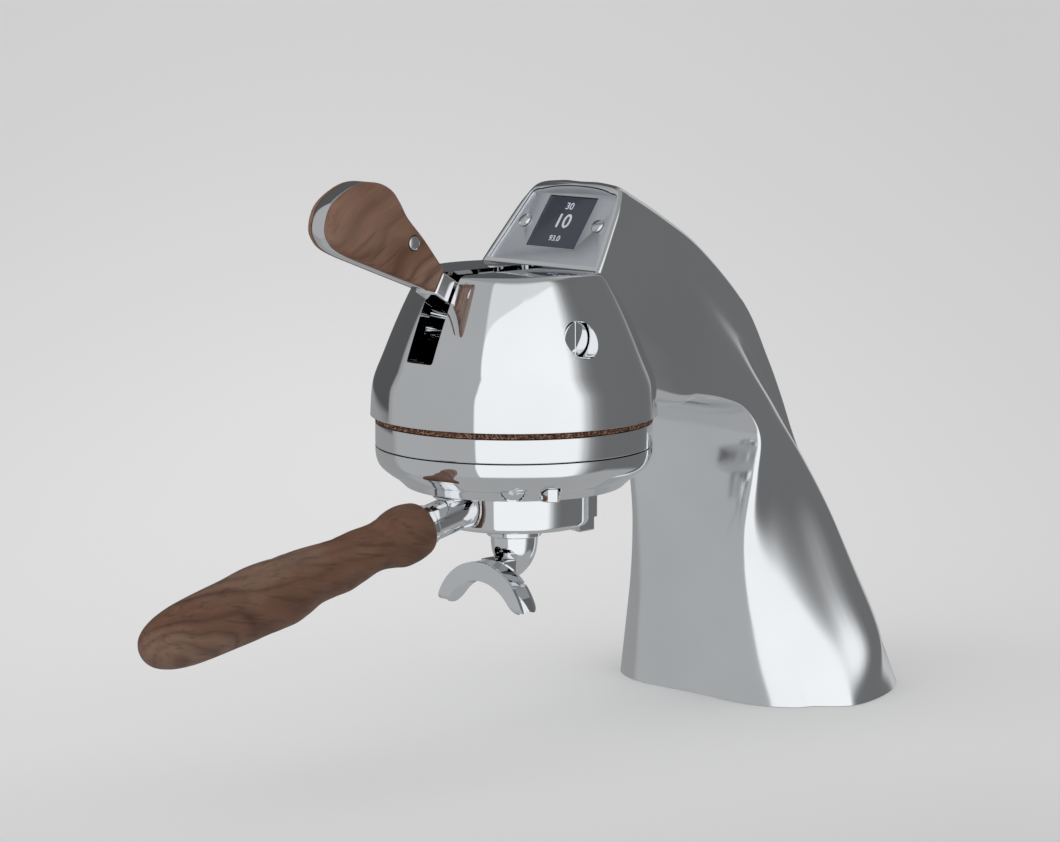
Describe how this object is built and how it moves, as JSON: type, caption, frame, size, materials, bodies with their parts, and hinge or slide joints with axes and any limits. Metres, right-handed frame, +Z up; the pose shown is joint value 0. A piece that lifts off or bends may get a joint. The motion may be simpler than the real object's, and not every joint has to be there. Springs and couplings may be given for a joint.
{
  "type": "espresso brewing tap",
  "caption": "Chromed swan-neck tap, bolted to a counter, with a bell-shaped brewing group, paddle lever, small display and a portafilter with a wooden handle",
  "frame": {"origin": "Middle of the base's underside, on the face that is bolted to the counter", "axes": "+Z up from the counter, -Y forward to the operator and the portafilter handle, +X to the operator's right"},
  "size_m": [0.1544, 0.45, 0.2663],
  "materials": {
    "chrome": "polished chrome plate",
    "satin_chrome": "polished chrome plate with a slightly softer shine",
    "steel": "plain stainless steel",
    "brass": "turned brass",
    "copper": "drawn copper pipe",
    "walnut": "oiled walnut",
    "cork": "dark pressed cork",
    "rubber": "black food-grade rubber",
    "slate": "dark display window",
    "circuit": "green circuit board",
    "sheath": "black cable sheath"
  },
  "bodies": {
    "tap": {"tap_body": "chrome", "base_plate": "steel", "base_screw_1": "steel", "base_screw_2": "steel", "base_screw_3": "steel", "base_screw_4": "steel", "pivot_screw_left": "satin_chrome", "pivot_screw_right": "satin_chrome", "water_pipe": "copper", "signal_cable": "sheath", "display_bezel": "chrome", "display_screen": "slate", "display_board": "circuit", "bezel_screw_left": "steel", "bezel_screw_right": "steel", "cork_ring": "cork", "group_head": "chrome", "head_bolt_1": "steel", "head_bolt_2": "steel", "head_bolt_3": "steel", "head_bolt_4": "steel", "group_cap": "chrome", "cap_screw_1": "steel", "cap_screw_2": "steel", "cap_screw_3": "steel", "cap_screw_4": "steel", "cap_plug": "satin_chrome", "bayonet_ring": "steel", "group_gasket": "rubber", "dispersion_block": "brass", "shower_screen": "steel", "shower_screw": "steel", "pipe_fitting": "brass", "temperature_probe": "steel"},
    "lever": {"lever_tang": "satin_chrome", "lever_scale_left": "walnut", "lever_scale_right": "walnut", "lever_rivet": "steel", "lever_bush_left": "brass", "lever_bush_right": "brass"},
    "portafilter": {"portafilter_body": "chrome", "filter_basket": "steel", "basket_spring": "steel", "spout_stem": "chrome", "spout_arch": "chrome", "handle_wood": "walnut", "handle_stud": "steel"}
  },
  "joints": [
    {"name": "lever_hinge", "type": "hinge", "parent": "tap", "child": "lever", "pos_m": [0, -0.186, 0.193], "axis": [1, 0, 0], "range_deg": [-20, 30]},
    {"name": "portafilter_turn", "type": "hinge", "parent": "tap", "child": "portafilter", "pos_m": [0, -0.175, 0.11], "axis": [0, 0, 1], "range_deg": [-45, 0]}
  ]
}
